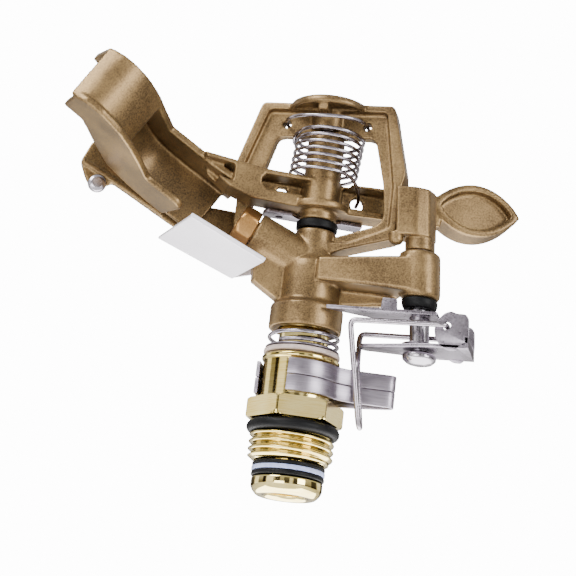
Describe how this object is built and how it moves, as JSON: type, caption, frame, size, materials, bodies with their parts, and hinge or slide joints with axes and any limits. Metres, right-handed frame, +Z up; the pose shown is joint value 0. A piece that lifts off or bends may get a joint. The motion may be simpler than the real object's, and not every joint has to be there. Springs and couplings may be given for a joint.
{
  "type": "impact sprinkler",
  "caption": "Impact sprinkler with threaded bearing, sprung swinging arm, part-circle trip, stop collars and tilting jet deflector.",
  "frame": {"origin": "middle of the sleeve's hexagon on its underside, where it seats on the riser", "axes": "+Z up along the bearing axis, away from the riser; the bridge lies in the XZ plane; the trip mechanism is on the +X side and the nozzle points mostly to -X"},
  "size_m": [0.1109, 0.0692, 0.103],
  "materials": {
    "brass": "machined and polished",
    "rubber": "satin black",
    "slip_polymer": "pale blue",
    "ring_polymer": "pinkish grey",
    "stainless": "stamped and drawn, lightly tumbled",
    "painted_zinc": "metallic bronze paint with fine grain",
    "bronze": "machined bronze"
  },
  "bodies": {
    "bearing": {"bearing_sleeve": "brass", "flange_o_ring": "rubber", "upper_sealing_washer": "rubber", "slip_washer": "slip_polymer", "lower_sealing_washer": "rubber", "sleeve_cap_ring": "ring_polymer"},
    "head": {"spindle_tube": "brass", "head_casting": "painted_zinc", "nozzle": "bronze", "pivot_pin": "stainless", "hub_washer": "rubber", "arm_spring": "stainless", "pressure_spring": "stainless", "spring_seat_washer": "stainless", "jet_shield": "painted_zinc", "shield_screw": "stainless", "tip_screw": "stainless", "trip_bush": "rubber"},
    "arm": {"impact_arm": "painted_zinc", "strike_strip": "stainless"},
    "upper_stop": {"upper_stop_collar": "stainless"},
    "lower_stop": {"lower_stop_collar": "stainless"},
    "trip": {"trip_pin": "stainless", "trip_latch": "painted_zinc", "trip_lever": "stainless", "trip_fork": "stainless", "trip_pin_washer": "stainless"},
    "wire": {"trip_wire": "stainless"},
    "deflector": {"deflector_plate": "stainless"}
  },
  "joints": [
    {"name": "head_turn", "type": "hinge", "parent": "bearing", "child": "head", "pos_m": [0, 0, 0.02], "axis": [0, 0, 1], "range_deg": [-170, 0]},
    {"name": "arm_swing", "type": "hinge", "parent": "head", "child": "arm", "pos_m": [0, 0, 0.06], "axis": [0, 0, 1], "range_deg": [0, 90], "stiffness_Nm_per_rad": 0.02, "springref_deg": -28.65, "deforming": ["arm_spring"]},
    {"name": "upper_stop_turn", "type": "hinge", "parent": "bearing", "child": "upper_stop", "pos_m": [0, 0, 0.0127], "axis": [0, 0, 1], "range_deg": [0, 120]},
    {"name": "lower_stop_turn", "type": "hinge", "parent": "bearing", "child": "lower_stop", "pos_m": [0, 0, 0.0086], "axis": [0, 0, 1], "range_deg": [0, 120]},
    {"name": "trip_turn", "type": "hinge", "parent": "head", "child": "trip", "pos_m": [0.0287, -0.003, 0.03], "axis": [0, 0, 1], "range_deg": [-1.5, 12]},
    {"name": "wire_flip", "type": "hinge", "parent": "trip", "child": "wire", "pos_m": [0.0366, -0.003, 0.0246], "axis": [0, -1, 0], "range_deg": [0, 4]},
    {"name": "deflector_tilt", "type": "hinge", "parent": "head", "child": "deflector", "pos_m": [-0.01453, 0.00702, 0.043], "axis": [-0.4003, 0.9164, 0], "range_deg": [-5, 8]}
  ]
}
